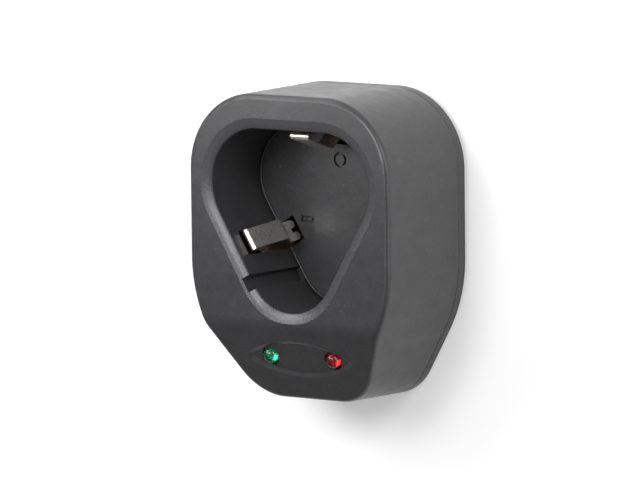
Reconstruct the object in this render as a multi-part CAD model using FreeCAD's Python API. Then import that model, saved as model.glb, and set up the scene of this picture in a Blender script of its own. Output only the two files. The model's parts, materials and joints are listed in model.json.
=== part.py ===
import FreeCAD, Part
import math
import os
from FreeCAD import Vector, Placement, Rotation

# A charging cup for a stem-shaped tool battery, lying on the feet of its back cover.
# +Z is up, out of the battery pocket. +Y points at the wide end, -Y at the narrow end
# with the lamps. The origin is on the surface the feet stand on, under the middle.
#
# Inside this file every place is given as (x, along, up): x from the middle plane, along
# from the narrow end of the front outline, up from the outside of the back cover.
# All sizes are millimetres.

# ---- driving dimensions: body -------------------------------------------------------
FOOT_STAND = 1.0            # how far the feet stand out of the back cover
BODY_HEIGHT = 36.1          # back cover's outside to the flat front
FRONT_LENGTH = 84.2         # front outline, narrow end to wide end
HALF_WIDTH = 33.5
KINK_ALONG = 27.6           # where the straight sides turn in towards the narrow end
NARROW_HALF_WIDTH = 17.7
WIDE_RADIUS = 21.4
KINK_RADIUS = 41.0
NARROW_RADIUS = 13.8
DRAFT = 0.58                # how much the outline grows from the front to the back
WALL = 2.2
FRONT_WALL = 2.4
RIM_HEIGHT = 3.6            # height of the back cover's rim
FRONT_EDGE_RADIUS = 1.5
BACK_EDGE_RADIUS = 0.9
PARTING_RADIUS = 0.25       # the two softened edges that make the parting line
LIP_GAP = 0.15
LIP_WALL = 1.2
LIP_TOP = 5.4

# ---- driving dimensions: sloping lamp panel -----------------------------------------
BEND_ALONG = 20.8
PANEL_ANGLE = 26.5
BEND_RADIUS = 8.0
RECESS_DOWN = 10.4          # middle of the almond recess, down the panel from the bend
RECESS_LENGTH = 37.5
RECESS_WIDTH = 11.6
RECESS_DEPTH = 0.6
RECESS_BEVEL = 1.1
RECESS_TIP_RADIUS = 1.6
LAMP_DOWN = 10.36
LAMP_PITCH = 21.06
LAMP_SHIFT = 0.53           # the pair sits a little to the red side
LAMP_HOLE_RADIUS = 2.75
LAMP_RADIUS = 2.4
LAMP_LENGTH = 7.6           # dome top to flange
LAMP_FLANGE_RADIUS = 2.95
LAMP_FLANGE = 1.0
LAMP_PROUD = 1.1            # dome top above the panel surface
SLEEVE_RADIUS = 3.8
LEAD_RADIUS = 0.25
LEAD_PITCH = 2.54

# ---- driving dimensions: battery pocket ---------------------------------------------
LOBE_X = 12.2
LOBE_ALONG = 59.4
LOBE_RADIUS = 15.15
TOE_ALONG = 38.9
TOE_RADIUS = 14.6
MOUTH_LOBE_X = 11.15        # the mouth is a little narrower than the pocket at its floor
MOUTH_TOE_RADIUS = 14.3
RIM_BAND = 3.05             # width of the sloping band round the mouth
RIM_DROP = 1.1              # and how far its inner edge lies below the front
RIM_BREAK = 1.5             # where its slope gets steeper, from the inner edge
RIM_BREAK_DROP = 0.42
RIM_BREAK_RADIUS = 6.0
RIM_EDGE_RADIUS = 0.6
TUBE_WALL = 1.9
FLOOR_TOP = 11.5
FLOOR_THICK = 2.0
FLOOR_GAP = 0.2
FLOOR_LIP = 0.7
FLOOR_LIP_HEIGHT = 0.6
KEY_ALONG = 32.35
KEY_WIDTH = 4.3
KEY_DEPTH = 1.9
KEY_BACKING = 1.5
MARK_DEPTH = 0.8
MARK_GROOVE = 0.6            # the marks are outlined by a narrow groove
MARK_WIDTH = 1.8
MARK_LENGTH = 4.2

# ---- driving dimensions: contacts ---------------------------------------------------
STRIP_WIDTH = 6.0
STRIP_THICK = 0.3
STRIP_BEND_RADIUS = 1.0     # outside of the hairpin bend
HINGE_OUT = 1.9             # hairpin's centre, out of the pocket wall
HINGE_UP = 29.35
KNEE_OUT = 6.0              # how far the leaf stands out of the wall
KNEE_UP = 19.0
VALLEY_OUT = 2.8
VALLEY_UP = 14.0
TIP_OUT = 4.2
TIP_UP = 10.6
KNEE_RADIUS = 0.8
TIP_SLIT = 1.2              # the free end is split into two rounded lobes
TIP_SLIT_DEPTH = 1.6
TIP_CORNER_RADIUS = 1.1
LEG_HIGH_BEND = 26.5        # the leg slants back through its window between these two
LEG_LOW_BEND = 22.0
LEG_BEND_RADIUS = 0.8
WINDOW_WIDTH = 7.2
WINDOW_TOP = 31.0
SIDE_CONTACT_ALONG = 42.1
BLOCK_WIDTH = 10.0
BLOCK_THICK = 1.6
BLOCK_TOP = 32.0
TAB_BOTTOM = 6.5
RIVET_RADIUS = 0.9
RIVET_HEAD_RADIUS = 1.6
RIVET_HEAD = 0.5
RIVET_UP = 18.0
NOTCH_WIDTH = 7.4
NOTCH_DEPTH = 5.8
SPLIT_GAP = 0.15            # air between the moving leaf and its fixed leg

# ---- driving dimensions: board and what is on it ------------------------------------
BOARD_BOTTOM = 4.6
BOARD_THICK = 1.6
BOARD_TOP = BOARD_BOTTOM + BOARD_THICK
BOARD_HALF_WIDTH = 15.0
BOARD_START = 5.0
BOARD_END = 30.0
BOARD_SCREW_X = 12.3
BOARD_SCREW_ALONG = 27.0
BOARD_REST_ALONG = 7.5
INLET_WIDTH = 9.0
INLET_START = 2.4
INLET_LENGTH = 13.6
INLET_HEIGHT = 11.0
INLET_UP = BOARD_TOP + 6.4
INLET_BORE_RADIUS = 2.9
INLET_BORE_DEPTH = 9.5
INLET_PIN_RADIUS = 1.05
INLET_PIN_LENGTH = 8.5
INLET_PIN_CHAMFER = 0.3
INLET_HOLE_RADIUS = 4.2

# ---- driving dimensions: fasteners and feet -----------------------------------------
SCREW_PLACES = [(-15.0, 79.0), (15.0, 79.0), (-25.5, 36.0), (25.5, 36.0)]
BOSS_RADIUS = 2.7
SCREW_RADIUS = 1.2
SCREW_CLEARANCE = 0.25
SCREW_HEAD_RADIUS = 2.4
SCREW_HEAD = 1.3
SCREW_SINK = 1.5
SCREW_LENGTH = 9.0
THREAD_GAP = 0.05
FOOT_PLACES = [(-22.0, 68.0), (22.0, 68.0), (-11.0, 10.0), (11.0, 10.0)]
FOOT_RADIUS = 4.0
FOOT_SINK = 0.5
POST_PLACES = [(-16.0, 60.0), (16.0, 60.0), (0.0, 50.0)]
POST_RADIUS = 2.2
WIRE_RADIUS = 0.65
WIRE_UP = 7.5
PLUG_HALF_WIDTH = 5.0
PLUG_START = 25.8

MIDDLE = FRONT_LENGTH / 2
UP = Vector(0, 0, 1)


# ---- small helpers ------------------------------------------------------------------
def place(x, along, up=0.0):
    """A point of the row frame from the file's own (x, along, up)."""
    return Vector(x, along - MIDDLE, up + FOOT_STAND)


def box(x0, x1, along0, along1, up0, up1):
    return Part.makeBox(x1 - x0, along1 - along0, up1 - up0, place(x0, along0, up0))


def rod(radius, start, end):
    """A cylinder from one point to another."""
    run = end - start
    return Part.makeCylinder(radius, run.Length, start, run)


def post(radius, x, along, up0, up1):
    return rod(radius, place(x, along, up0), place(x, along, up1))


def prism(wire, height):
    return Part.Face(wire).extrude(UP * height)


def fuse_all(shapes):
    first, rest = shapes[0], shapes[1:]
    return first.multiFuse(rest).removeSplitter() if rest else first


def one_solid(shape):
    """The shape as a plain solid when it has only one, or as a group of its solids."""
    solids = shape.Solids
    return solids[0] if len(solids) == 1 else Part.makeCompound(solids)


def save(name, shape):
    result = one_solid(shape)
    if not result.isValid():
        print("not valid:", name)
    result.exportStep("parts/" + name + ".step")
    print(name, len(result.Solids), "solids", round(result.Volume, 1), "mm3")


def fillet_where(shape, radius, wanted):
    """Round the edges that the function picks out by their midpoint and length."""
    chosen = [edge for edge in shape.Edges if wanted(edge)]
    return shape.makeFillet(radius, chosen)


def edge_middle(edge):
    return edge.valueAt((edge.FirstParameter + edge.LastParameter) / 2)


# ---- outlines -----------------------------------------------------------------------
def grown(points, by):
    """An anticlockwise polygon with every side moved outwards."""
    result = []
    count = len(points)
    for i in range(count):
        before, here, after = points[i - 1], points[i], points[(i + 1) % count]
        into, out_of = (here - before).normalize(), (after - here).normalize()
        side_a = Vector(into.y, -into.x, 0)
        side_b = Vector(out_of.y, -out_of.x, 0)
        bisector = (side_a + side_b).normalize()
        result.append(here + bisector * (by / bisector.dot(side_a)))
    return result


def rounded_wire(points, radii):
    """A closed wire of straight runs joined by tangent arcs."""
    count = len(points)
    starts, arcs, ends = [], [], []
    for i in range(count):
        here = points[i]
        back = (points[i - 1] - here).normalize()
        on = (points[(i + 1) % count] - here).normalize()
        half = back.getAngle(on) / 2
        reach = radii[i] / math.tan(half)
        bisector = (back + on).normalize()
        start, end = here + back * reach, here + on * reach
        middle = here + bisector * (radii[i] / math.sin(half) - radii[i])
        starts.append(start)
        ends.append(end)
        arcs.append(Part.Arc(start, middle, end).toShape())
    edges = []
    for i in range(count):
        edges.append(arcs[i])
        edges.append(Part.makeLine(ends[i], starts[(i + 1) % count]))
    return Part.Wire(edges)


def body_outline(grow, up):
    """The shield-shaped outline, grown outwards (or inwards when negative)."""
    corners = [(NARROW_HALF_WIDTH, 0), (HALF_WIDTH, KINK_ALONG), (HALF_WIDTH, FRONT_LENGTH)]
    corners += [(-x, along) for x, along in reversed(corners)]
    points = grown([place(x, along, up) for x, along in corners], grow)
    radii = [NARROW_RADIUS, KINK_RADIUS, WIDE_RADIUS]
    radii += radii[::-1]
    return rounded_wire(points, [radius + grow for radius in radii])


def draft_at(up):
    return DRAFT * (BODY_HEIGHT - up) / BODY_HEIGHT


def body_block(inset, up0, up1):
    """The drafted body between two heights, with its wall moved in by the inset."""
    low = body_outline(draft_at(up0) - inset, up0)
    high = body_outline(draft_at(up1) - inset, up1)
    return Part.makeLoft([low, high], True, True)


def pocket_wire(grow, up, lobe_x=LOBE_X, toe_radius=TOE_RADIUS):
    """The rounded triangle: two lobes at the wide end and a toe at the narrow one."""
    circles = [(place(lobe_x, LOBE_ALONG, up), LOBE_RADIUS + grow)]
    circles.append((place(-lobe_x, LOBE_ALONG, up), LOBE_RADIUS + grow))
    circles.append((place(0, TOE_ALONG, up), toe_radius + grow))
    normals = []
    for i in range(3):
        centre, radius = circles[i]
        next_centre, next_radius = circles[(i + 1) % 3]
        run = next_centre - centre
        tilt = math.asin((radius - next_radius) / run.Length)
        run.normalize()
        side = Vector(run.y, -run.x, 0)
        normals.append(side * math.cos(tilt) + run * math.sin(tilt))
    edges = []
    for i in range(3):
        centre, radius = circles[i]
        next_centre, next_radius = circles[(i + 1) % 3]
        arriving, leaving = normals[i - 1], normals[i]
        start, end = centre + arriving * radius, centre + leaving * radius
        middle = centre + (arriving + leaving).normalize() * radius
        edges.append(Part.Arc(start, middle, end).toShape())
        edges.append(Part.makeLine(end, next_centre + leaving * next_radius))
    return Part.Wire(edges)


def mouth_wire(grow, up):
    return pocket_wire(grow, up, MOUTH_LOBE_X, MOUTH_TOE_RADIUS)


def pocket_spaces():
    """The pocket in three pieces: its straight foot, its walls and the band round its mouth."""
    foot_top = FLOOR_TOP + 2 * FLOOR_LIP_HEIGHT
    rim_low, rim_break = BODY_HEIGHT - RIM_DROP, BODY_HEIGHT - RIM_BREAK_DROP
    over = 1.5
    above = mouth_wire(RIM_BREAK + (RIM_BAND - RIM_BREAK) * over, rim_break + RIM_BREAK_DROP * over)
    foot = prism(pocket_wire(0, -1), foot_top + 1)
    walls = Part.makeLoft([pocket_wire(0, foot_top), mouth_wire(0, rim_low)], True, True)
    band = Part.makeLoft([mouth_wire(0, rim_low), mouth_wire(RIM_BREAK, rim_break), above], True, True)
    return [foot, walls, band]


# ---- the lamp panel -----------------------------------------------------------------
PANEL_SLOPE = math.radians(PANEL_ANGLE)
PANEL_NORMAL = Vector(0, -math.sin(PANEL_SLOPE), math.cos(PANEL_SLOPE))
PANEL_DOWNHILL = Vector(0, -math.cos(PANEL_SLOPE), -math.sin(PANEL_SLOPE))
LAMP_PLACES = [LAMP_SHIFT - LAMP_PITCH / 2, LAMP_SHIFT + LAMP_PITCH / 2]


def panel_point(x, down, deep=0.0):
    """A point measured down the panel from the bend, and into the body."""
    bend = place(x, BEND_ALONG, BODY_HEIGHT)
    return bend + PANEL_DOWNHILL * down - PANEL_NORMAL * deep


def above_front(deep):
    """All the space above the front face, sunk into the body by a depth."""
    reach, far = BEND_RADIUS * math.tan(PANEL_SLOPE / 2), 60.0
    shift = -PANEL_NORMAL * deep
    low_end = panel_point(-far, far) + shift
    bend_low = panel_point(-far, reach) + shift
    bend_high = place(-far, BEND_ALONG + reach, BODY_HEIGHT - deep)
    centre = place(-far, BEND_ALONG + reach, BODY_HEIGHT - BEND_RADIUS)
    half_normal = (PANEL_NORMAL + UP).normalize()
    arc = Part.Arc(bend_low, centre + half_normal * (BEND_RADIUS - deep), bend_high).toShape()
    high_end = place(-far, FRONT_LENGTH + far, BODY_HEIGHT - deep)
    ceiling = BODY_HEIGHT + far
    roof_high = place(-far, FRONT_LENGTH + far, ceiling)
    roof_low = Vector(-far, low_end.y, roof_high.z)
    edges = [Part.makeLine(low_end, bend_low), arc, Part.makeLine(bend_high, high_end)]
    edges.append(Part.makeLine(high_end, roof_high))
    edges.append(Part.makeLine(roof_high, roof_low))
    edges.append(Part.makeLine(roof_low, low_end))
    return Part.Face(Part.Wire(edges)).extrude(Vector(2 * far, 0, 0))


def almond_wire(inset, deep):
    """A long oval of two wide arcs and two tip arcs, in a plane parallel to the panel."""
    half_length, half_width = RECESS_LENGTH / 2 - 2 * inset, RECESS_WIDTH / 2 - inset
    wide = (half_length ** 2 + half_width ** 2) / (2 * half_width)
    tip = RECESS_TIP_RADIUS - inset
    offset = wide - half_width
    tip_x = math.sqrt((wide - tip) ** 2 - offset ** 2)
    joint_x = tip_x * wide / (wide - tip)
    joint_down = offset * wide / (wide - tip) - offset

    def spot(x, down):
        return panel_point(x, RECESS_DOWN + down, deep)

    edges = []
    for side in (-1, 1):
        start, end = spot(side * joint_x, side * joint_down), spot(side * joint_x, -side * joint_down)
        edges.append(Part.Arc(start, spot(side * (tip_x + tip), 0), end).toShape())
        next_start = spot(-side * joint_x, -side * joint_down)
        edges.append(Part.Arc(end, spot(0, -side * half_width), next_start).toShape())
    return Part.Wire(edges)


def almond_recess():
    """The recess and its sloping edge, reaching a little above the panel surface."""
    over = 0.5
    spread = -RECESS_BEVEL * over / RECESS_DEPTH
    wires = [almond_wire(spread, -over), almond_wire(RECESS_BEVEL, RECESS_DEPTH)]
    return Part.makeLoft(wires, True, True)


# ---- the three contact stations -----------------------------------------------------
class Station:
    """A place on a pocket wall: a point, the way out of the wall, and the way along it."""

    def __init__(self, name, x, along, out_x, out_along):
        self.name = name
        self.foot = place(x, along, 0)
        self.out = Vector(out_x, out_along, 0).normalize()
        self.across = UP.cross(self.out)

    def point(self, across, out, up):
        return self.foot + self.across * across + self.out * out + UP * up

    def block(self, width, out0, out1, up0, up1):
        corner = [(-width / 2, out0), (width / 2, out0), (width / 2, out1), (-width / 2, out1)]
        points = [self.point(across, out, up0) for across, out in corner]
        return prism(Part.makePolygon(points + points[:1]), up1 - up0)


def slanted_wall():
    """The left slanted pocket wall: its outward normal and a function to walk up it."""
    lobe, toe = Vector(-LOBE_X, LOBE_ALONG, 0), Vector(0, TOE_ALONG, 0)
    run = toe - lobe
    tilt = math.asin((LOBE_RADIUS - TOE_RADIUS) / run.Length)
    run.normalize()
    side = Vector(run.y, -run.x, 0)
    normal = side * math.cos(tilt) + run * math.sin(tilt)
    start = toe + normal * TOE_RADIUS
    uphill = Vector(normal.y, -normal.x, 0)

    def at(along):
        return start + uphill * ((along - start.y) / uphill.y)

    return normal, at


WALL_NORMAL, wall_at = slanted_wall()


def stations():
    spot = wall_at(SIDE_CONTACT_ALONG)
    left = Station("left", spot.x, spot.y, -WALL_NORMAL.x, -WALL_NORMAL.y)
    right = Station("right", -spot.x, spot.y, WALL_NORMAL.x, -WALL_NORMAL.y)
    top = Station("top", 0, LOBE_ALONG + LOBE_RADIUS, 0, -1)
    return [left, right, top]


def key_station():
    spot = wall_at(KEY_ALONG)
    return Station("key", spot.x, spot.y, -WALL_NORMAL.x, -WALL_NORMAL.y)


STATIONS = stations()
KEY = key_station()


# ---- shells -------------------------------------------------------------------------
def front_blank():
    """The solid outside of the front shell, with its front edge rounded."""
    blank = body_block(0, RIM_HEIGHT, BODY_HEIGHT).cut(above_front(0))

    def on_front_outline(edge):
        middle = edge_middle(edge)
        along, up = middle.y + MIDDLE, middle.z - FOOT_STAND
        inside = abs(middle.x) < 2.0 and 2.0 < along < FRONT_LENGTH - 2.0
        return up > RIM_HEIGHT + 15.0 and not inside

    blank = fillet_where(blank, FRONT_EDGE_RADIUS, on_front_outline)

    def on_parting(edge):
        return abs(edge_middle(edge).z - FOOT_STAND - RIM_HEIGHT) < 0.01

    return fillet_where(blank, PARTING_RADIUS, on_parting)


def shell_inside():
    """The hollow of the front shell before the pocket's tube is taken out of it."""
    below = 1.0
    hollow = body_block(WALL, RIM_HEIGHT - below, BODY_HEIGHT - FRONT_WALL)
    return hollow.cut(above_front(FRONT_WALL))


def front_shell():
    spaces = pocket_spaces()
    shell = front_blank()
    for space in spaces:
        shell = shell.cut(space)

    def at_level(drop):
        level = BODY_HEIGHT + FOOT_STAND - drop
        wire = mouth_wire(RIM_BREAK if drop == RIM_BREAK_DROP else 0, BODY_HEIGHT - drop)
        return lambda edge: abs(edge_middle(edge).z - level) < 0.01 and wire.distToShape(edge)[0] < 0.01

    shell = fillet_where(shell, RIM_BREAK_RADIUS, at_level(RIM_BREAK_DROP))
    shell = fillet_where(shell, RIM_EDGE_RADIUS, at_level(RIM_DROP))

    tube_bottom = FLOOR_TOP - FLOOR_THICK
    kept = [prism(pocket_wire(TUBE_WALL, tube_bottom), BODY_HEIGHT - tube_bottom)]
    kept.append(KEY.block(KEY_WIDTH + 3, -KEY_DEPTH - KEY_BACKING, 0, tube_bottom, BODY_HEIGHT))
    for x, along in SCREW_PLACES:
        kept.append(post(BOSS_RADIUS, x, along, WALL, BODY_HEIGHT))
    for x in LAMP_PLACES:
        deep = LAMP_LENGTH - LAMP_PROUD
        kept.append(rod(SLEEVE_RADIUS, panel_point(x, LAMP_DOWN, deep), panel_point(x, LAMP_DOWN, 1)))
    hollow = shell_inside()
    for solid in kept:
        hollow = hollow.cut(solid)
    shell = shell.cut(hollow)

    bosses = []
    for x, along in SCREW_PLACES:
        bosses.append(post(BOSS_RADIUS, x, along, WALL, RIM_HEIGHT + 1))
    shell = fuse_all([shell] + bosses)

    cuts = spaces[:2]
    cuts.append(KEY.block(KEY_WIDTH, -KEY_DEPTH, 2, -1, BODY_HEIGHT + 1))
    for station in STATIONS:
        cuts.append(station.block(WINDOW_WIDTH, -TUBE_WALL - 0.01, 2, -1, WINDOW_TOP))
    for x in LAMP_PLACES:
        start = panel_point(x, LAMP_DOWN, LAMP_LENGTH - LAMP_PROUD + 1)
        cuts.append(rod(LAMP_HOLE_RADIUS, start, panel_point(x, LAMP_DOWN, -1)))
    cuts.append(almond_recess())
    for x, along in SCREW_PLACES:
        cuts.append(post(SCREW_RADIUS + THREAD_GAP, x, along, 0, SCREW_SINK + SCREW_LENGTH + 2))
    cuts.append(rod(INLET_HOLE_RADIUS, place(0, -5, INLET_UP), place(0, INLET_START, INLET_UP)))
    for cut in cuts:
        shell = shell.cut(cut)
    return shell


def back_cover():
    cover = body_block(0, 0, RIM_HEIGHT)

    def at_level(level):
        return lambda edge: abs(edge_middle(edge).z - FOOT_STAND - level) < 0.01

    cover = fillet_where(cover, BACK_EDGE_RADIUS, at_level(0))
    cover = fillet_where(cover, PARTING_RADIUS, at_level(RIM_HEIGHT))
    cover = cover.cut(body_block(WALL, WALL, RIM_HEIGHT + 1))
    lip = body_block(WALL + LIP_GAP, WALL, LIP_TOP)
    lip = lip.cut(body_block(WALL + LIP_GAP + LIP_WALL, WALL, LIP_TOP + 1))
    base = body_block(WALL - 0.5, WALL - 1, WALL)
    ring = body_block(WALL - 0.5, WALL - 1, RIM_HEIGHT - 0.4)
    ring = ring.cut(body_block(WALL + LIP_GAP + LIP_WALL, WALL, RIM_HEIGHT))
    added = [lip, base, ring]
    for x, along in POST_PLACES:
        added.append(post(POST_RADIUS, x, along, WALL - 0.5, FLOOR_TOP - FLOOR_THICK))
    for x in (-BOARD_SCREW_X, BOARD_SCREW_X):
        for along in (BOARD_REST_ALONG, BOARD_SCREW_ALONG):
            added.append(post(POST_RADIUS, x, along, WALL - 0.5, BOARD_BOTTOM))
    cover = fuse_all([cover] + added)
    for x, along in SCREW_PLACES:
        cover = cover.cut(post(BOSS_RADIUS + 0.2, x, along, WALL, LIP_TOP + 1))
        cover = cover.cut(post(SCREW_RADIUS + SCREW_CLEARANCE, x, along, -1, WALL + 1))
        cover = cover.cut(post(SCREW_HEAD_RADIUS + 0.2, x, along, -1, SCREW_SINK))
    for x, along in FOOT_PLACES:
        cover = cover.cut(post(FOOT_RADIUS, x, along, -1, FOOT_SINK))
    for x in (-BOARD_SCREW_X, BOARD_SCREW_X):
        hole = post(SCREW_RADIUS + THREAD_GAP, x, BOARD_SCREW_ALONG, 1.0, BOARD_BOTTOM + 1)
        cover = cover.cut(hole)
    return cover


def pocket_floor():
    bottom = FLOOR_TOP - FLOOR_THICK
    plate = prism(pocket_wire(-FLOOR_GAP, bottom), FLOOR_THICK + FLOOR_LIP_HEIGHT)
    plate = plate.cut(prism(pocket_wire(-FLOOR_GAP - FLOOR_LIP, FLOOR_TOP), 5))

    def at_top(edge):
        return abs(edge_middle(edge).z - FOOT_STAND - FLOOR_TOP - FLOOR_LIP_HEIGHT) < 0.01

    plate = fillet_where(plate, FLOOR_LIP_HEIGHT / 2, at_top)
    tab = KEY.block(KEY_WIDTH - 0.5, -KEY_DEPTH + 0.3, 1.0, bottom, FLOOR_TOP)
    plate = fuse_all([plate, tab])
    for station in STATIONS:
        plate = plate.cut(station.block(NOTCH_WIDTH, -1, NOTCH_DEPTH, 0, FLOOR_TOP + 5))
    marks = polarity_marks()
    return plate.cut(marks)


def mark_bar(x, along, length, width, low, high):
    """An upright block, its middle at the given place."""
    return box(x - length / 2, x + length / 2, along - width / 2, along + width / 2, low, high)


def polarity_marks():
    """Grooves round a bar by the left contact, a cross by the right one, a ring by the top one."""
    low, high = FLOOR_TOP - MARK_DEPTH, FLOOR_TOP + 1
    mark_x, mark_along, ring_along = 11.25, 47.5, 64.5
    shrink = 2 * MARK_GROOVE
    bar = mark_bar(-mark_x, mark_along, MARK_LENGTH, MARK_WIDTH, low, high)
    inner = mark_bar(-mark_x, mark_along, MARK_LENGTH - shrink, MARK_WIDTH - shrink, low, high)
    level = mark_bar(mark_x, mark_along, MARK_LENGTH, MARK_GROOVE, low, high)
    upright = mark_bar(mark_x, mark_along, MARK_GROOVE, MARK_LENGTH, low, high)
    ring = post(MARK_LENGTH / 2, 0, ring_along, low, high)
    ring = ring.cut(post(MARK_LENGTH / 2 - MARK_GROOVE, 0, ring_along, low, high))
    return fuse_all([bar.cut(inner), fuse_all([level, upright]), ring])


# ---- contacts -----------------------------------------------------------------------
def bent_run(points, radius):
    """Straight edges from point to point, with a tangent arc at every inner corner."""
    edges, start = [], points[0]
    for i in range(1, len(points) - 1):
        here = points[i]
        back = (points[i - 1] - here).normalize()
        on = (points[i + 1] - here).normalize()
        half = back.getAngle(on) / 2
        reach = radius / math.tan(half)
        arc_start, arc_end = here + back * reach, here + on * reach
        middle = here + (back + on).normalize() * (radius / math.sin(half) - radius)
        edges.append(Part.makeLine(start, arc_start))
        edges.append(Part.Arc(arc_start, middle, arc_end).toShape())
        start = arc_end
    edges.append(Part.makeLine(start, points[-1]))
    return edges


def leaf_centre_wire(station):
    """Hairpin bend, plate, knee, valley and tip, as one wire in the station's plane."""
    radius = STRIP_BEND_RADIUS - STRIP_THICK / 2
    run = math.hypot(KNEE_OUT - HINGE_OUT, KNEE_UP - HINGE_UP)
    towards = math.atan2(KNEE_UP - HINGE_UP, KNEE_OUT - HINGE_OUT)
    touch = towards + math.acos(radius / run)

    def spot(out, up):
        return station.point(-STRIP_WIDTH / 2, out, up)

    def on_bend(angle):
        return spot(HINGE_OUT + radius * math.cos(angle), HINGE_UP + radius * math.sin(angle))

    bend = Part.Arc(on_bend(math.pi), on_bend((math.pi + touch) / 2), on_bend(touch)).toShape()
    points = [on_bend(touch), spot(KNEE_OUT, KNEE_UP)]
    points += [spot(VALLEY_OUT, VALLEY_UP), spot(TIP_OUT, TIP_UP)]
    return Part.Wire([bend] + bent_run(points, KNEE_RADIUS))


def strip_face(wire):
    """A ribbon of the strip's thickness about a middle line, in the middle line's plane."""
    half = STRIP_THICK / 2
    one_side = wire.makeOffset2D(half, 0, False, True)
    other_side = wire.makeOffset2D(-half, 0, False, True)
    a_start, a_end = one_side.OrderedVertexes[0].Point, one_side.OrderedVertexes[-1].Point
    b_start, b_end = other_side.OrderedVertexes[0].Point, other_side.OrderedVertexes[-1].Point
    if (a_start - b_start).Length > (a_start - b_end).Length:
        b_start, b_end = b_end, b_start
    ends = [Part.makeLine(a_start, b_start), Part.makeLine(a_end, b_end)]
    edges = list(one_side.Edges) + list(other_side.Edges) + ends
    return Part.Face(Part.Wire(Part.__sortEdges__(edges)))


def contact_leaf(station):
    """The springy half of a hairpin contact, with two rounded lobes at its free end."""
    face = strip_face(leaf_centre_wire(station))
    leaf = face.extrude(station.across * STRIP_WIDTH)
    leaf = leaf.cut(station.block(TIP_SLIT, 0, 9, TIP_UP - 2, TIP_UP + TIP_SLIT_DEPTH))
    tip = station.point(0, TIP_OUT, TIP_UP)

    def at_lobe_corner(edge):
        low = abs(edge_middle(edge).z - tip.z) < STRIP_THICK
        return low and edge.Length < STRIP_THICK * 1.2

    return fillet_where(leaf, TIP_CORNER_RADIUS, at_lobe_corner)


def contact_leg(station):
    """The fixed leg of a hairpin contact, which goes down to its solder tab."""
    front = HINGE_OUT - STRIP_BEND_RADIUS + STRIP_THICK / 2
    back = STRIP_THICK / 2 - TUBE_WALL
    path = [(front, HINGE_UP - SPLIT_GAP), (front, LEG_HIGH_BEND)]
    path += [(back, LEG_LOW_BEND), (back, TAB_BOTTOM)]
    points = [station.point(-STRIP_WIDTH / 2, out, up) for out, up in path]
    leg = strip_face(Part.Wire(bent_run(points, LEG_BEND_RADIUS)))
    leg = leg.extrude(station.across * STRIP_WIDTH)
    hole = rod(RIVET_RADIUS, station.point(0, -5, RIVET_UP), station.point(0, 0, RIVET_UP))
    return leg.cut(hole)


def contact_block(station):
    """The insulating block behind a contact window, which the leg is riveted to."""
    front = -TUBE_WALL
    bottom = FLOOR_TOP - FLOOR_THICK
    block = station.block(BLOCK_WIDTH, front - BLOCK_THICK, front, bottom, BLOCK_TOP)
    hole = rod(RIVET_RADIUS, station.point(0, front - 5, RIVET_UP), station.point(0, 0, RIVET_UP))
    return block.cut(hole)


def rivet(station):
    front = STRIP_THICK - TUBE_WALL
    back = -TUBE_WALL - BLOCK_THICK
    face, tail = station.point(0, front, RIVET_UP), station.point(0, back, RIVET_UP)
    shank = rod(RIVET_RADIUS, tail, face)
    head = rod(RIVET_HEAD_RADIUS, face, face + station.out * RIVET_HEAD)
    foot = rod(RIVET_HEAD_RADIUS, tail, tail - station.out * RIVET_HEAD)
    return fuse_all([shank, head, foot])


# ---- lamps --------------------------------------------------------------------------
def lamp(x):
    dome = panel_point(x, LAMP_DOWN, LAMP_RADIUS - LAMP_PROUD)
    flange = panel_point(x, LAMP_DOWN, LAMP_LENGTH - LAMP_PROUD)
    body = rod(LAMP_RADIUS, flange, dome)
    ball = Part.makeSphere(LAMP_RADIUS, dome)
    rim = rod(LAMP_FLANGE_RADIUS, flange - PANEL_NORMAL * LAMP_FLANGE, flange)
    return fuse_all([body, ball, rim])


def lamp_leads(x):
    """Two wires from under the lamp straight down to the board."""
    seat = panel_point(x, LAMP_DOWN, LAMP_LENGTH - LAMP_PROUD + LAMP_FLANGE)
    above = seat.z - FOOT_STAND + 2
    leads = []
    for side in (-0.5, 0.5):
        lead = post(LEAD_RADIUS, x + side * LEAD_PITCH, seat.y + MIDDLE, BOARD_TOP, above)
        leads.append(lead.cut(lamp(x)).Solids[0])
    return Part.makeCompound(leads)


# ---- board --------------------------------------------------------------------------
def circuit_board():
    half = BOARD_HALF_WIDTH
    board = box(-half, half, BOARD_START, BOARD_END, BOARD_BOTTOM, BOARD_TOP)
    for x in (-BOARD_SCREW_X, BOARD_SCREW_X):
        board = board.cut(post(SCREW_RADIUS + SCREW_CLEARANCE, x, BOARD_SCREW_ALONG, 0, 9))
    return board


def capacitor():
    x, along, radius, height = 10.4, 10.0, 4.0, 12.0
    can = post(radius, x, along, BOARD_TOP, BOARD_TOP + height)

    def at_end(edge):
        return edge.Length > 2 * radius * 3

    return can.makeFillet(0.4, [edge for edge in can.Edges if at_end(edge)])


def power_transistor():
    low, high = BOARD_TOP + 3.0, BOARD_TOP + 14.0
    body = box(-14.4, -6.4, 7.0, 9.8, low, high)
    body = body.cut(rod(1.6, place(-10.4, 6, high - 3.5), place(-10.4, 11, high - 3.5)))
    legs = [post(0.4, -10.4 + step * 2.3, 8.4, BOARD_TOP, low + 1) for step in (-1, 0, 1)]
    return fuse_all([body] + legs)


def controller_chip():
    gap, thick = 0.4, 2.5
    start = 17.4
    body = box(-4.8, 4.8, start, start + 6.2, BOARD_TOP + gap, BOARD_TOP + gap + thick)
    legs = []
    for step in range(4):
        x = (step - 1.5) * 2.4
        for along in (start, start + 6.2):
            legs.append(box(x - 0.3, x + 0.3, along - 0.4, along + 0.4, BOARD_TOP, BOARD_TOP + 1.8))
    return fuse_all([body] + legs)


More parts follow.
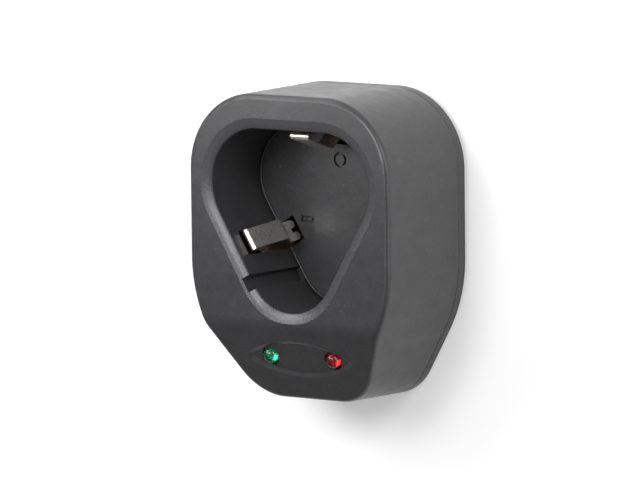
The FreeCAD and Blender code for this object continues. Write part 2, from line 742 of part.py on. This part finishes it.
def axial_part(x, body_radius):
    """A small part lying along the board on its two bent wires."""
    middle, half_body, half_span = 20.6, 2.1, 2.9
    up = BOARD_TOP + body_radius + 0.2
    body = rod(body_radius, place(x, middle - half_body, up), place(x, middle + half_body, up))
    lead = rod(LEAD_RADIUS, place(x, middle - half_span, up), place(x, middle + half_span, up))
    pieces = [body, lead]
    for along in (middle - half_span, middle + half_span):
        pieces.append(post(LEAD_RADIUS, x, along, BOARD_TOP, up))
    return fuse_all(pieces)


def axial_row(side, body_radius):
    places = [side * (6.9 + 2.4 * step) for step in range(4)]
    return Part.makeCompound([axial_part(x, body_radius) for x in places])


def contact_plug():
    plug = box(-PLUG_HALF_WIDTH, PLUG_HALF_WIDTH, PLUG_START, BOARD_END, BOARD_TOP, BOARD_TOP + 3.0)
    return plug


# ---- power inlet --------------------------------------------------------------------
INLET_END = INLET_START + INLET_LENGTH
BORE_END = INLET_START + INLET_BORE_DEPTH
SPRING_PIVOT = (BORE_END + 1.0, INLET_UP - INLET_BORE_RADIUS - 0.75)
SPRING_TIP = (INLET_START + 2.0, INLET_UP - INLET_BORE_RADIUS + 0.35)
SPRING_THICK = 0.25
SPRING_WIDTH = 2.0


def inlet_housing():
    half = INLET_WIDTH / 2
    housing = box(-half, half, INLET_START, INLET_END, BOARD_TOP, BOARD_TOP + INLET_HEIGHT)
    bore = rod(INLET_BORE_RADIUS, place(0, INLET_START - 1, INLET_UP), place(0, BORE_END, INLET_UP))
    slot_half = SPRING_WIDTH / 2 + 0.3
    slot_low = INLET_UP - INLET_BORE_RADIUS - 1.5
    slot = box(-slot_half, slot_half, INLET_START + 1, BORE_END + 1.6, slot_low, INLET_UP - 2)
    return housing.cut(bore).cut(slot)


def inlet_pin():
    start = place(0, BORE_END, INLET_UP)
    pin = rod(INLET_PIN_RADIUS, start, start - Vector(0, INLET_PIN_LENGTH, 0))
    tip = [edge for edge in pin.Edges if edge_middle(edge).y < start.y - INLET_PIN_LENGTH + 0.01]
    return pin.makeChamfer(INLET_PIN_CHAMFER, tip)


def inlet_spring():
    """The flat spring in the slot under the plug, fixed at its inner end."""
    pivot = place(-SPRING_WIDTH / 2, *SPRING_PIVOT)
    tip = place(-SPRING_WIDTH / 2, *SPRING_TIP)
    run = (tip - pivot).normalize()
    thick = Vector(0, -run.z, run.y) * (SPRING_THICK / 2)
    corners = [pivot + thick, tip + thick, tip - thick, pivot - thick]
    face = Part.Face(Part.makePolygon(corners + corners[:1]))
    return face.extrude(Vector(SPRING_WIDTH, 0, 0))


# ---- wires --------------------------------------------------------------------------
def wire_tube(name, points):
    """A round wire of straight runs joined by the widest tangent arcs that fit."""
    corners = [place(x, along, WIRE_UP) for x, along in points]
    pieces, start = [], corners[0]
    for i in range(1, len(corners) - 1):
        here = corners[i]
        back, on = corners[i - 1] - here, corners[i + 1] - here
        short = min(back.Length, on.Length)
        half = back.getAngle(on) / 2
        reach = 0.45 * short
        radius = reach * math.tan(half)
        back.normalize()
        on.normalize()
        arc_start, arc_end = here + back * reach, here + on * reach
        middle = here + (back + on).normalize() * (radius / math.sin(half) - radius)
        pieces.append(Part.makeLine(start, arc_start))
        pieces.append(Part.Arc(arc_start, middle, arc_end).toShape())
        print("  ", name, "bend radius", round(radius, 1))
        start = arc_end
    pieces.append(Part.makeLine(start, corners[-1]))
    path = Part.Wire(pieces)
    direction = (corners[1] - corners[0]).normalize()
    ring = Part.Wire(Part.makeCircle(WIRE_RADIUS, corners[0], direction))
    tube = path.makePipeShell([ring], True, False)
    wanted = math.pi * WIRE_RADIUS ** 2 * path.Length
    print("  ", name, "volume over section times length", round(tube.Volume / wanted, 4))
    return tube


def leg_face(station):
    """Where a wire meets the inner face of a contact's solder tab."""
    spot = station.point(0, STRIP_THICK - TUBE_WALL, 0)
    return spot.x, spot.y + MIDDLE


def side_route(station, side):
    start_x, start_along = leg_face(station)
    reach = 8.0
    first = (start_x + station.out.x * reach, start_along + station.out.y * reach)
    return [(start_x, start_along), first, (side * 3.0, 39.5), (side * 3.0, BOARD_END)]


def wires():
    left, right, top = STATIONS
    start = leg_face(top)
    down = [start, (start[0], start[1] - 8.0), (6.5, 59.0), (6.5, 50.0), (0.0, 40.0), (0.0, BOARD_END)]
    save("wire_left", wire_tube("wire_left", side_route(left, -1)))
    save("wire_right", wire_tube("wire_right", side_route(right, 1)))
    save("wire_top", wire_tube("wire_top", down))


# ---- fasteners and feet -------------------------------------------------------------
def screw(x, along, head_bottom, head_up, length):
    """A round-headed screw; head_up is the side of the head that the slot is in."""
    head_top = head_bottom + head_up * SCREW_HEAD
    tip = head_bottom - head_up * length
    head = rod(SCREW_HEAD_RADIUS, place(x, along, head_bottom), place(x, along, head_top))
    shank = rod(SCREW_RADIUS, place(x, along, tip), place(x, along, head_bottom))
    half_long, half_thin = 1.5, 0.3
    cross = []
    low, high = sorted((head_top - head_up * 0.7, head_top + head_up * 0.5))
    cross.append(box(x - half_long, x + half_long, along - half_thin, along + half_thin, low, high))
    cross.append(box(x - half_thin, x + half_thin, along - half_long, along + half_long, low, high))
    return fuse_all([head, shank]).cut(fuse_all(cross))


def cover_screws():
    return Part.makeCompound([screw(x, a, SCREW_SINK, -1, SCREW_LENGTH) for x, a in SCREW_PLACES])


def board_screws():
    pair = []
    for x in (-BOARD_SCREW_X, BOARD_SCREW_X):
        pair.append(screw(x, BOARD_SCREW_ALONG, BOARD_TOP, 1, 5.0))
    return Part.makeCompound(pair)


def rubber_feet():
    feet = []
    for x, along in FOOT_PLACES:
        foot = post(FOOT_RADIUS, x, along, -FOOT_STAND, FOOT_SINK)
        low = [edge for edge in foot.Edges if edge_middle(edge).z < 0.01 and edge.Length > 12]
        feet.append(foot.makeFillet(0.4, low))
    return Part.makeCompound(feet)


# ---- build --------------------------------------------------------------------------
def main():
    os.makedirs("parts", exist_ok=True)
    save("front_shell", front_shell())
    save("back_cover", back_cover())
    save("pocket_floor", pocket_floor())
    for station in STATIONS:
        save("contact_leaf_" + station.name, contact_leaf(station))
        save("contact_leg_" + station.name, contact_leg(station))
        save("contact_block_" + station.name, contact_block(station))
    save("contact_rivets", Part.makeCompound([rivet(station) for station in STATIONS]))
    for name, x in zip(("green_lamp", "red_lamp"), LAMP_PLACES):
        save(name, lamp(x))
        save(name + "_leads", lamp_leads(x))
    save("circuit_board", circuit_board())
    save("smoothing_capacitor", capacitor())
    save("power_transistor", power_transistor())
    save("controller_chip", controller_chip())
    save("rectifier_diodes", axial_row(-1, 1.0))
    save("resistors", axial_row(1, 0.9))
    save("contact_plug", contact_plug())
    save("inlet_housing", inlet_housing())
    save("inlet_pin", inlet_pin())
    save("inlet_spring", inlet_spring())
    wires()
    save("cover_screws", cover_screws())
    save("board_screws", board_screws())
    save("rubber_feet", rubber_feet())


main()
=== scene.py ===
import json
import math

import bmesh
import bpy
from mathutils import Matrix, Vector


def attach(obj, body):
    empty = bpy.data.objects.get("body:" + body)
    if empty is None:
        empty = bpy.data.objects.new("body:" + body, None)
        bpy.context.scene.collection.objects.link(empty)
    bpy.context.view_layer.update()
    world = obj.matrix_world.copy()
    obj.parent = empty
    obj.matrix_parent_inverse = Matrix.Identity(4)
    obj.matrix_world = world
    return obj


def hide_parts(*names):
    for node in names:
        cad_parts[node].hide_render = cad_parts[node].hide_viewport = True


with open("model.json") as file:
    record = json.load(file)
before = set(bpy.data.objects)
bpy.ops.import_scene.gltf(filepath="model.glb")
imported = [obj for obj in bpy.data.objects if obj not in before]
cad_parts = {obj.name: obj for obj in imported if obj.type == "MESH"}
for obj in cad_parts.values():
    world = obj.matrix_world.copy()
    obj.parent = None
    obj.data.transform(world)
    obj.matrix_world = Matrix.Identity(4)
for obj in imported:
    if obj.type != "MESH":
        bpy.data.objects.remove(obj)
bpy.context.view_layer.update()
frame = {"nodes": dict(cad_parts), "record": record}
MM = 0.001


# ---- camera -------------------------------------------------------------------------
AZIMUTH = 36.10             # degrees, turned to the right of straight down
ELEVATION = 6.85            # and tipped towards the wide end
ROLL = -0.62
DISTANCE = 1.92             # metres
LENS = 394.3                # millimetres, as is the sensor
SENSOR_WIDTH = 36
CLIP_END = 20
AIM = Vector((0, -0.87, 19.22))     # mm, then moved sideways and upwards in the picture
AIM_RIGHT = -1.772
AIM_UP = 1.786


def look_axes():
    """Right, up and backward directions of the camera, with the wide end upwards."""
    turn, tip, roll = (math.radians(angle) for angle in (AZIMUTH, ELEVATION, ROLL))
    back = Vector((math.sin(turn) * math.cos(tip), math.sin(tip), math.cos(turn) * math.cos(tip)))
    right = Vector((math.cos(turn), 0, -math.sin(turn)))
    up = back.cross(right)
    rolled_right = right * math.cos(roll) + up * math.sin(roll)
    rolled_up = up * math.cos(roll) - right * math.sin(roll)
    return rolled_right, rolled_up, back


def make_camera():
    """A far camera with a long lens, as the photo shows hardly any perspective."""
    data = bpy.data.cameras.new("camera")
    data.lens = LENS
    data.sensor_width = SENSOR_WIDTH
    data.clip_end = CLIP_END
    camera = bpy.data.objects.new("camera", data)
    bpy.context.collection.objects.link(camera)
    right, up, back = look_axes()
    middle = AIM * MM + right * AIM_RIGHT * MM + up * AIM_UP * MM
    place = Matrix((right, up, back)).transposed().to_4x4()
    place.translation = middle + back * DISTANCE
    camera.matrix_world = place
    bpy.context.scene.camera = camera


make_camera()


# ---- material helpers ---------------------------------------------------------------
TOO_STEEP = (0.896, 0.915)          # the normal's Z where the painted sheen and the smoother finish set in
TOO_LEVEL = (0.965, 0.992)          # and where it ends
BEND_FADE = (-0.024, -0.014)        # metres along Y, over which it leaves out the bend
UPHILL_WEIGHT = 0.040               # metres that a normal towards +Y counts as
GRAIN_MM = 0.34
GRAIN_HEIGHT = 0.020                # mm, as are the two bumps
METAL_BUMP = 0.0006
GLOSSY_BUMP = 0.004
GLOSSY_PATCH_MM = 1.0
DUST_LIGHTER = 1.9
# painted highlight: the base colour is this much lighter on the tilted faces
PAINTED_SHEEN_LIGHTER = 1.35
TARNISH_DARKER = 0.55
UNEVEN = 0.06                       # the plastic's roughness varies by this much each way
SHEEN_FACES_SMOOTHER = (0.14, 0.08)      # and is this much lower on the faces with the painted sheen


class Nodes:
    """A new material, with short calls for the nodes that it needs."""

    def __init__(self, name):
        self.material = bpy.data.materials.new(name)
        self.material.use_nodes = True
        self.tree = self.material.node_tree
        self.shader = self.tree.nodes["Principled BSDF"]
        self.place = self.tree.nodes.new("ShaderNodeTexCoord").outputs["Object"]

    def set(self, **values):
        for name, value in values.items():
            self.shader.inputs[name.replace("_", " ")].default_value = value

    def link(self, output, name):
        self.tree.links.new(output, self.shader.inputs[name])

    def noise(self, size_mm, detail=2.0, rough=0.5):
        node = self.tree.nodes.new("ShaderNodeTexNoise")
        node.inputs["Scale"].default_value = 1000 / size_mm
        node.inputs["Detail"].default_value = detail
        node.inputs["Roughness"].default_value = rough
        self.tree.links.new(self.place, node.inputs["Vector"])
        return node.outputs["Fac"]

    def spread(self, value, low, high, start=0.3, end=0.7):
        """The value stretched from start..end to low..high."""
        node = self.tree.nodes.new("ShaderNodeMapRange")
        for name, number in (("From Min", start), ("From Max", end), ("To Min", low), ("To Max", high)):
            node.inputs[name].default_value = number
        self.tree.links.new(value, node.inputs["Value"])
        return node.outputs["Result"]

    def split(self, vector):
        """The vector's X, Y and Z outputs."""
        node = self.tree.nodes.new("ShaderNodeSeparateXYZ")
        self.tree.links.new(vector, node.inputs["Vector"])
        return node.outputs

    def maths(self, operation, *values):
        """A sum on numbers or other nodes' outputs."""
        node = self.tree.nodes.new("ShaderNodeMath")
        node.operation = operation
        for socket, value in zip(node.inputs, values):
            if isinstance(value, (int, float)):
                socket.default_value = value
            else:
                self.tree.links.new(value, socket)
        return node.outputs[0]

    def tilted(self, share):
        """The painted sheen's mask: up to the share on faces 12 to 24 degrees out of level, none on the
        panel's bend.
        """
        normal = self.split(self.tree.nodes.new("ShaderNodeTexCoord").outputs["Normal"])
        steep = self.spread(normal["Z"], 0, share, *TOO_STEEP)
        level = self.spread(normal["Z"], 1, 0, *TOO_LEVEL)
        uphill = self.maths("MULTIPLY_ADD", normal["Y"], UPHILL_WEIGHT, self.split(self.place)["Y"])
        off_bend = self.spread(uphill, 0, 1, *BEND_FADE)
        return self.maths("MULTIPLY", self.maths("MULTIPLY", steep, level), off_bend)

    def blend_values(self, first, second, share):
        """A mix of two values, the share a number or another node's output."""
        node = self.tree.nodes.new("ShaderNodeMix")
        if isinstance(share, float):
            node.inputs["Factor"].default_value = share
        else:
            self.tree.links.new(share, node.inputs["Factor"])
        self.tree.links.new(first, node.inputs[2])
        self.tree.links.new(second, node.inputs[3])
        return node.outputs[0]

    def colours(self, value, dark, light):
        """A mix of two colours, each a triple or another node's output."""
        node = self.tree.nodes.new("ShaderNodeMix")
        node.data_type = "RGBA"
        for socket, colour in ((node.inputs[6], dark), (node.inputs[7], light)):
            if isinstance(colour, tuple):
                socket.default_value = (*colour, 1)
            else:
                self.tree.links.new(colour, socket)
        self.tree.links.new(value, node.inputs["Factor"])
        return node.outputs[2]

    def bump(self, value, height_mm, under=None):
        """A bumped normal, on top of another one if given."""
        node = self.tree.nodes.new("ShaderNodeBump")
        node.inputs["Strength"].default_value = 1.0
        node.inputs["Distance"].default_value = height_mm * MM
        self.tree.links.new(value, node.inputs["Height"])
        if under is not None:
            self.tree.links.new(under, node.inputs["Normal"])
        return node.outputs["Normal"]


def grey(value, cool=0.0):
    """A grey, with the share of a faint violet cast given."""
    return (value, value * (1 - 0.025 * cool), value * (1 + 0.05 * cool))


def moulded(name, dark, light, roughness, painted_sheen_and_smooth=0.0):
    """Moulded plastic with a spark-eroded grain, soft patches and a little dust.

    Faces tilted a little out of the front, such as the band round the pocket and the rounded front edge,
    get a painted highlight, a lighter base colour, and a smoother finish, by the share given.
    """
    nodes = Nodes(name)
    cloud = nodes.spread(nodes.noise(5.0, 4.0, 0.65), 0, 1)
    fine = nodes.spread(nodes.noise(GRAIN_MM * 3, 3.0, 0.7), 0, 1)
    mixed = nodes.blend_values(cloud, fine, 0.5)
    plain = nodes.colours(mixed, dark, light)
    specks = nodes.spread(nodes.noise(0.8, 1.0), 0, 1, 0.73, 0.82)
    dusty = tuple(channel * DUST_LIGHTER for channel in light)
    colour = nodes.colours(specks, plain, dusty)
    patchy = nodes.spread(nodes.noise(4.0, 5.0, 0.65), roughness - UNEVEN, roughness + UNEVEN)
    if painted_sheen_and_smooth:
        # painted highlight: the tilted faces get a lighter base colour, and a lower roughness too
        painted_sheen_and_smooth_mask = nodes.tilted(painted_sheen_and_smooth)
        colour = nodes.colours(painted_sheen_and_smooth_mask, colour, tuple(channel * PAINTED_SHEEN_LIGHTER for channel in light))
        lowest, highest = (roughness - less for less in SHEEN_FACES_SMOOTHER)
        smooth = nodes.spread(nodes.noise(3.0, 3.0), lowest, highest)
        patchy = nodes.blend_values(patchy, smooth, painted_sheen_and_smooth_mask)
    nodes.link(colour, "Base Color")
    nodes.link(patchy, "Roughness")
    coarse = nodes.bump(nodes.noise(GRAIN_MM * 4, 2.0, 0.6), GRAIN_HEIGHT * 1.8)
    nodes.link(nodes.bump(nodes.noise(GRAIN_MM, 2.0, 0.6), GRAIN_HEIGHT, coarse), "Normal")
    return nodes.material


def metal(name, colour, roughness, patch_mm=1.1):
    """Rolled or plated metal with soft patches and a slightly uneven gloss."""
    nodes = Nodes(name)
    dark = tuple(channel * TARNISH_DARKER for channel in colour)
    patch = nodes.noise(patch_mm, 5.0, 0.75)
    nodes.link(nodes.colours(nodes.spread(patch, 0, 1, 0.30, 0.50), dark, colour), "Base Color")
    gloss = nodes.noise(patch_mm * 0.6, 3.0)
    nodes.link(nodes.spread(gloss, roughness * 0.85, roughness * 1.15), "Roughness")
    nodes.link(nodes.bump(nodes.noise(patch_mm * 0.7, 2.0), METAL_BUMP), "Normal")
    nodes.set(Metallic=1.0)
    return nodes.material


def glossy(name, dark, light, roughness):
    """Smooth plastic or lacquer, slightly uneven in colour and gloss."""
    nodes = Nodes(name)
    patch = nodes.spread(nodes.noise(GLOSSY_PATCH_MM, 3.0), 0, 1)
    nodes.link(nodes.colours(patch, dark, light), "Base Color")
    gloss = nodes.noise(GLOSSY_PATCH_MM, 2.0)
    nodes.link(nodes.spread(gloss, roughness * 0.8, roughness * 1.2), "Roughness")
    nodes.link(nodes.bump(nodes.noise(GLOSSY_PATCH_MM * 0.5, 2.0), GLOSSY_BUMP), "Normal")
    return nodes.material


def lens(name, colour):
    """Tinted clear resin: dark where only the hole shows through, bright over the cup."""
    nodes = Nodes(name)
    dark = tuple(channel * 0.8 for channel in colour)
    nodes.link(nodes.colours(nodes.spread(nodes.noise(2.0, 2.0), 0, 1), dark, colour), "Base Color")
    nodes.link(nodes.spread(nodes.noise(1.0, 2.0), 0.16, 0.22), "Roughness")
    nodes.set(Transmission_Weight=0.97, IOR=1.5)
    return nodes.material


MATERIALS = {
    # the shell's band round the pocket and its rounded front edge get a painted highlight
    "shell_plastic": moulded("shell_plastic", grey(0.026, 1), grey(0.043, 1), 0.37, painted_sheen_and_smooth=0.9),
    "cover_plastic": moulded("cover_plastic", grey(0.026, 1), grey(0.040, 1), 0.39),
    "floor_plastic": moulded("floor_plastic", grey(0.030, 1), grey(0.052, 1), 0.39),
    "block_plastic": moulded("block_plastic", grey(0.010), grey(0.014), 0.5),
    "nickel_strip": metal("nickel_strip", (0.93, 0.91, 0.86), 0.36, patch_mm=0.9),
    "bronze_strip": metal("bronze_strip", (0.80, 0.60, 0.45), 0.38),
    "brass": metal("brass", (0.72, 0.55, 0.30), 0.3),
    "green_lens": lens("green_lens", (0.03, 0.72, 0.30)),
    "red_lens": lens("red_lens", (0.90, 0.02, 0.03)),
    "tinned_wire": metal("tinned_wire", (0.78, 0.78, 0.76), 0.25),
    "board_laminate": glossy("board_laminate", (0.22, 0.15, 0.05), (0.30, 0.21, 0.08), 0.4),
    "capacitor_sleeve": glossy("capacitor_sleeve", (0.01, 0.015, 0.05), (0.015, 0.02, 0.07), 0.3),
    "component_black": glossy("component_black", grey(0.012), grey(0.02), 0.5),
    "resistor_body": glossy("resistor_body", (0.42, 0.32, 0.18), (0.52, 0.41, 0.25), 0.45),
    "plug_nylon": glossy("plug_nylon", (0.62, 0.60, 0.52), (0.70, 0.68, 0.60), 0.45),
    "inlet_nickel": metal("inlet_nickel", (0.78, 0.76, 0.70), 0.25),
    "wire_black": glossy("wire_black", grey(0.012), grey(0.02), 0.4),
    "wire_red": glossy("wire_red", (0.30, 0.01, 0.01), (0.42, 0.015, 0.015), 0.4),
    "wire_yellow": glossy("wire_yellow", (0.55, 0.38, 0.02), (0.65, 0.46, 0.03), 0.4),
    "screw_steel": metal("screw_steel", (0.50, 0.49, 0.47), 0.35),
    "foot_rubber": moulded("foot_rubber", grey(0.012), grey(0.02), 0.8),
}


def dress_nodes():
    """Every carried-over node takes the material of its slot in the record."""
    for part in frame["record"]["subparts"]:
        node = frame["nodes"][part["node"]]
        node.data.materials.clear()
        node.data.materials.append(MATERIALS[part["material_slot"]])


dress_nodes()


# ---- building pieces ----------------------------------------------------------------
SHARP_ANGLE = math.radians(35)
BODY_MIDDLE = 42.1                  # mm, from the narrow end to the frame's origin
BEND_ALONG = 20.8                   # mm, from the narrow end to the lamp panel's bend
FRONT_HEIGHT = 37.1                 # mm, the flat front above the floor
PANEL_SLOPE = math.radians(26.5)
PANEL_NORMAL = Vector((0, -math.sin(PANEL_SLOPE), math.cos(PANEL_SLOPE)))
PANEL_DOWNHILL = Vector((0, -math.cos(PANEL_SLOPE), -math.sin(PANEL_SLOPE)))
PANEL_BEND = Vector((0, BEND_ALONG - BODY_MIDDLE, FRONT_HEIGHT))
LAMP_DOWN = 10.36                   # mm down the panel from its bend
LAMP_PLACES = {"green": -10.0, "red": 11.06}    # mm across the panel
LAMP_RADIUS = 2.4
LAMP_PROUD = 1.1                    # the dome's top above the panel


def new_piece(name, mesh, slot_name, axes):
    """A fixed piece, put in place and given its slot's material."""
    mesh.materials.append(MATERIALS[slot_name])
    piece = bpy.data.objects.new(name, mesh)
    bpy.context.collection.objects.link(piece)
    piece.matrix_world = axes
    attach(piece, "housing")
    return piece


def finished(name, shape):
    """The built shape as a smooth mesh with its sharp edges kept."""
    mesh = bpy.data.meshes.new(name)
    shape.to_mesh(mesh)
    shape.free()
    mesh.shade_smooth()
    mesh.set_sharp_from_angle(angle=SHARP_ANGLE)
    return mesh


def lathe(name, profile, around=64):
    """A closed turned shape from (radius, height) pairs in mm, about its own Z axis."""
    shape = bmesh.new()
    rings = []
    for radius, height in profile:
        if radius == 0:
            rings.append([shape.verts.new((0, 0, height * MM))])
            continue
        ring = []
        for step in range(around):
            angle = 2 * math.pi * step / around
            point = (radius * math.cos(angle) * MM, radius * math.sin(angle) * MM, height * MM)
            ring.append(shape.verts.new(point))
        rings.append(ring)
    for low, high in zip(rings, rings[1:]):
        for step in range(around):
            after = (step + 1) % around
            if len(low) == 1:
                shape.faces.new((low[0], high[after], high[step]))
            elif len(high) == 1:
                shape.faces.new((low[step], low[after], high[0]))
            else:
                shape.faces.new((low[step], low[after], high[after], high[step]))
    bmesh.ops.recalc_face_normals(shape, faces=shape.faces)
    return finished(name, shape)


def block_mesh(name, corners_low, corners_high, soften):
    """A softened block between two quadrilaterals, given in mm."""
    shape = bmesh.new()
    low = [shape.verts.new(Vector(corner) * MM) for corner in corners_low]
    high = [shape.verts.new(Vector(corner) * MM) for corner in corners_high]
    shape.faces.new(low)
    shape.faces.new(high)
    for step in range(4):
        after = (step + 1) % 4
        shape.faces.new((low[step], low[after], high[after], high[step]))
    bmesh.ops.recalc_face_normals(shape, faces=shape.faces)
    bmesh.ops.bevel(shape, geom=shape.edges[:], offset=soften * MM, segments=3, affect="EDGES")
    return finished(name, shape)


def lamp_frame(x):
    """The lamp's own axes: its dome's centre, and Z along the panel's normal."""
    centre = PANEL_BEND + Vector((x, 0, 0)) + PANEL_DOWNHILL * LAMP_DOWN
    centre -= PANEL_NORMAL * (LAMP_RADIUS - LAMP_PROUD)
    axes = Matrix((Vector((1, 0, 0)), -PANEL_DOWNHILL, PANEL_NORMAL)).transposed().to_4x4()
    axes.translation = centre * MM
    return axes


# Radii and heights in the lamp's own axes, mm.
LENS_FOOT = -5.2
LENS_FLANGE_TOP = -4.2
FLANGE_RADIUS = 2.95
FLANGE_CHAMFER = 0.1
NECK_FLARE = 0.12
NECK_HEIGHT = 0.15
DOME_STEPS = 28
BODY_RING = -2.0
CUP_FLOOR = -1.75
POST_FOOT = -5.0
CUP_PROFILE = [(0, CUP_FLOOR), (0.5, CUP_FLOOR), (0.62, -1.7), (1.55, -0.75), (1.68, -0.75),
               (1.72, -0.82), (1.15, -1.9), (0.7, -2.5), (0.45, -2.9), (0.45, POST_FOOT), (0, POST_FOOT)]
ANVIL_CORNERS = [(1.5, -0.35), (2.0, -0.35), (2.0, 0.35), (1.5, 0.35)]
ANVIL_TOP = -2.0
DIE_CORNERS = [(-0.2, -0.2), (0.2, -0.2), (0.2, 0.2), (-0.2, 0.2)]
DIE_TOP = -1.5


def lens_profile():
    """The dome, the straight body, a small flare, and the flange with its edges broken."""
    turns = [math.pi / 2 * step / DOME_STEPS for step in range(DOME_STEPS + 1)]
    profile = [(LAMP_RADIUS * math.sin(turn), LAMP_RADIUS * math.cos(turn)) for turn in turns]
    rim = FLANGE_RADIUS - FLANGE_CHAMFER
    profile += [(LAMP_RADIUS, BODY_RING), (LAMP_RADIUS, LENS_FLANGE_TOP + NECK_HEIGHT)]
    profile += [(LAMP_RADIUS + NECK_FLARE, LENS_FLANGE_TOP), (rim, LENS_FLANGE_TOP)]
    profile += [(FLANGE_RADIUS, LENS_FLANGE_TOP - FLANGE_CHAMFER)]
    profile += [(FLANGE_RADIUS, LENS_FOOT + FLANGE_CHAMFER), (rim, LENS_FOOT), (0, LENS_FOOT)]
    return profile


def upright(corners, low, high):
    """The four lower and four upper corners of a straight block, in mm."""
    return [(x, y, low) for x, y in corners], [(x, y, high) for x, y in corners]


def make_lamp(colour, x):
    """A clear tinted lens over a reflector cup on its post, a lead post and a chip."""
    axes = lamp_frame(x)
    name = colour + "_lamp_"
    lens_slot = colour + "_lens"
    lens_piece = new_piece(name + "lens", lathe(name + "lens", lens_profile()), lens_slot, axes)
    new_piece(name + "cup", lathe(name + "cup", CUP_PROFILE, 40), "tinned_wire", axes)
    anvil = block_mesh(name + "anvil", *upright(ANVIL_CORNERS, POST_FOOT, ANVIL_TOP), 0.06)
    new_piece(name + "anvil", anvil, "tinned_wire", axes)
    die = block_mesh(name + "die", *upright(DIE_CORNERS, CUP_FLOOR, DIE_TOP), 0.02)
    new_piece(name + "die", die, lens_slot, axes)
    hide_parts(colour + "_lamp")


for lamp_colour, lamp_x in LAMP_PLACES.items():
    make_lamp(lamp_colour, lamp_x)


# ---- floor and light ----------------------------------------------------------------
FLOOR_REACH = 3.0                   # metres
FLOOR_LEVEL = -0.05 * MM            # just clear of the feet's undersides
FLOOR_GLOW = 0.276                  # keeps the pale floor white with hardly any shadow
WORLD_STRENGTH = 0.243
WHITE = (1, 1, 1, 1)
LIGHTS_AIM = (0, 0, 0.02)
LIGHTS = {                          # place and size in metres, power in watts
    "overhead_near": ((0, 0.06, 0.25), (0.12, 0.12), 0.07),
    "overhead": ((-0.02, 0.13, 0.42), (0.14, 0.14), 0.48),
    "near_left": ((-0.1, 0.06, 0.16), (0.08, 0.08), 0.118),
    "right": ((0.9, 0.1, 0.3), (0.5, 0.4), 2.3),
    "key": ((0.06, 0.24, 0.15), (0.16, 0.1), 0.07),
    "right_top": ((0.5, 0.33, 0.4), (0.25, 0.25), 1.6),
    "back_left": ((-0.5, 0.7, 0.4), (0.5, 0.4), 3.2),
}


def make_floor():
    """A wide pale sheet under the part, for the picture only."""
    mesh = bpy.data.meshes.new("floor")
    signs = ((-1, -1), (1, -1), (1, 1), (-1, 1))
    corners = [(x * FLOOR_REACH, y * FLOOR_REACH, FLOOR_LEVEL) for x, y in signs]
    mesh.from_pydata(corners, [], [(0, 1, 2, 3)])
    floor = bpy.data.objects.new("floor", mesh)
    bpy.context.collection.objects.link(floor)
    nodes = Nodes("floor")
    paper = nodes.colours(nodes.spread(nodes.noise(40.0), 0, 1), grey(0.86), grey(0.89))
    nodes.link(paper, "Base Color")
    nodes.set(Roughness=0.9, Emission_Color=WHITE, Emission_Strength=FLOOR_GLOW)
    mesh.materials.append(nodes.material)


def area_light(name, place, size, power):
    """A rectangular light turned towards the part."""
    data = bpy.data.lights.new(name, "AREA")
    data.shape = "RECTANGLE"
    data.size, data.size_y = size
    data.energy = power
    light = bpy.data.objects.new(name, data)
    bpy.context.collection.objects.link(light)
    light.location = place
    towards = Vector(LIGHTS_AIM) - Vector(place)
    light.rotation_euler = towards.to_track_quat("-Z", "Y").to_euler()


def make_light():
    """A dim even surround and the lights in the list."""
    world = bpy.data.worlds.new("studio")
    world.use_nodes = True
    background = world.node_tree.nodes["Background"]
    background.inputs["Color"].default_value = WHITE
    background.inputs["Strength"].default_value = WORLD_STRENGTH
    bpy.context.scene.world = world
    for name, (place, size, power) in LIGHTS.items():
        area_light(name, place, size, power)


make_floor()
make_light()
bpy.context.scene.view_settings.view_transform = "Standard"
